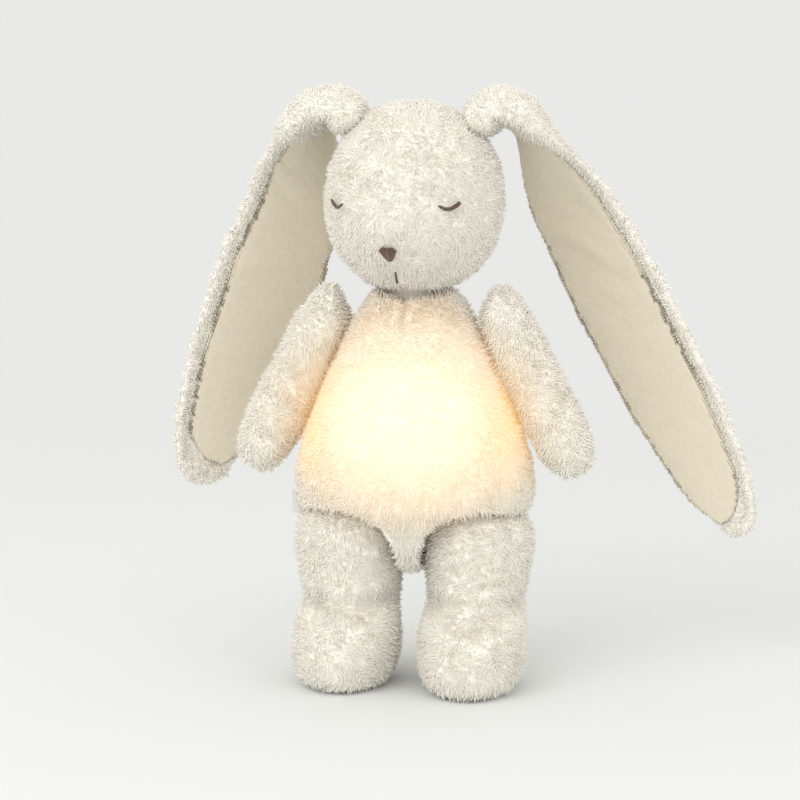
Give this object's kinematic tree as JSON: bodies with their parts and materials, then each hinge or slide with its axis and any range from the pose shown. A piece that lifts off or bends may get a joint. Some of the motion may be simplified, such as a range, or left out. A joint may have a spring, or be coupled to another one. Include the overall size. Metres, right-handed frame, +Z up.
{
  "type": "plush night light",
  "caption": "Stuffed rabbit night light with long hanging ears, a glowing belly and a light module in a pocket in its back.",
  "frame": {"origin": "middle of the outline on the floor that the feet stand on", "axes": "+Z up, -Y is the front of the toy, +X is the toy's left"},
  "size_m": [0.3816, 0.1472, 0.3723],
  "materials": {
    "body_fur": "long soft pile, lit from inside",
    "cream_fur": "soft cream pile",
    "ear_cloth": "plain woven cloth",
    "brown_thread": "satin stitch",
    "pocket_cloth": "plain cloth",
    "white_plastic": "fine texture",
    "diffuser_plastic": "frosted",
    "board_green": "solder mask",
    "steel": "plated",
    "black_plastic": "plain",
    "grey_foam": "foam",
    "led_cover": "phosphor",
    "red_cover": "shrink wrap"
  },
  "bodies": {
    "torso_body": {"torso": "body_fur", "tail": "cream_fur", "pocket_liner": "pocket_cloth", "side_label": "pocket_cloth", "loop_strip": "pocket_cloth", "rear_housing": "white_plastic", "diffuser": "diffuser_plastic", "circuit_board": "board_green", "speaker_frame": "steel", "speaker_magnet": "steel", "charging_socket": "steel", "housing_screw_1": "steel", "housing_screw_2": "steel", "housing_screw_3": "steel", "housing_screw_4": "steel", "speaker_cone": "black_plastic", "battery_lead": "black_plastic", "speaker_lead": "black_plastic", "battery_pad": "grey_foam", "light_diode_1": "led_cover", "light_diode_2": "led_cover", "light_diode_3": "led_cover", "light_diode_4": "led_cover", "battery_cell": "red_cover"},
    "neck_body": {"neck": "pocket_cloth"},
    "head_body": {"head": "cream_fur", "nose": "brown_thread", "mouth": "brown_thread", "eye_left": "brown_thread", "eye_right": "brown_thread"},
    "ear_left_body": {"ear_back_left": "cream_fur", "ear_lining_left": "ear_cloth"},
    "ear_right_body": {"ear_back_right": "cream_fur", "ear_lining_right": "ear_cloth"},
    "arm_left_body": {"arm_left": "cream_fur"},
    "arm_right_body": {"arm_right": "cream_fur"},
    "leg_left_body": {"leg_left": "cream_fur"},
    "leg_right_body": {"leg_right": "cream_fur"},
    "flap_body": {"back_flap": "cream_fur", "hook_strip": "pocket_cloth"},
    "slider_body": {"mode_slider": "black_plastic"},
    "power_button_body": {"power_button": "white_plastic"},
    "volume_up_button_body": {"volume_up_button": "white_plastic"},
    "volume_down_button_body": {"volume_down_button": "white_plastic"}
  },
  "joints": [
    {"name": "head_turn", "type": "hinge", "parent": "torso_body", "child": "neck_body", "pos_m": [-0.02465, 0.00262, 0.25], "axis": [0, 0, 1], "range_deg": [-8, 8]},
    {"name": "head_nod", "type": "hinge", "parent": "neck_body", "child": "head_body", "pos_m": [-0.02465, 0.00262, 0.25], "axis": [1, 0, 0], "range_deg": [0, 12]},
    {"name": "ear_left_lift", "type": "hinge", "parent": "head_body", "child": "ear_left_body", "pos_m": [0.01767, 0.00738, 0.36068], "axis": [0, -1, 0], "range_deg": [0, 70]},
    {"name": "ear_right_lift", "type": "hinge", "parent": "head_body", "child": "ear_right_body", "pos_m": [-0.06703, 0.00672, 0.36074], "axis": [0, 1, 0], "range_deg": [0, 70]},
    {"name": "arm_left_raise", "type": "hinge", "parent": "torso_body", "child": "arm_left_body", "pos_m": [0.02135, 0.00262, 0.232], "axis": [-1, 0, 0], "range_deg": [0, 90]},
    {"name": "arm_right_raise", "type": "hinge", "parent": "torso_body", "child": "arm_right_body", "pos_m": [-0.07065, 0.00262, 0.232], "axis": [-1, 0, 0], "range_deg": [0, 90]},
    {"name": "leg_left_raise", "type": "hinge", "parent": "torso_body", "child": "leg_left_body", "pos_m": [0.01635, 0.00262, 0.088], "axis": [-1, 0, 0], "range_deg": [0, 60]},
    {"name": "leg_right_raise", "type": "hinge", "parent": "torso_body", "child": "leg_right_body", "pos_m": [-0.06565, 0.00262, 0.088], "axis": [-1, 0, 0], "range_deg": [0, 60]},
    {"name": "flap_open", "type": "hinge", "parent": "torso_body", "child": "flap_body", "pos_m": [-0.02465, 0.04552, 0.2115], "axis": [1, 0, 0], "range_deg": [0, 110]},
    {"name": "mode_slide", "type": "slide", "parent": "torso_body", "child": "slider_body", "axis": [1, 0, 0], "range_m": [0, 0.003]},
    {"name": "power_press", "type": "slide", "parent": "torso_body", "child": "power_button_body", "axis": [0, -1, 0], "range_m": [0, 0.001], "stiffness_N_per_m": 800, "springref_m": -0.0005},
    {"name": "volume_up_press", "type": "slide", "parent": "torso_body", "child": "volume_up_button_body", "axis": [0, -1, 0], "range_m": [0, 0.001], "stiffness_N_per_m": 800, "springref_m": -0.0005},
    {"name": "volume_down_press", "type": "slide", "parent": "torso_body", "child": "volume_down_button_body", "axis": [0, -1, 0], "range_m": [0, 0.001], "stiffness_N_per_m": 800, "springref_m": -0.0005}
  ]
}
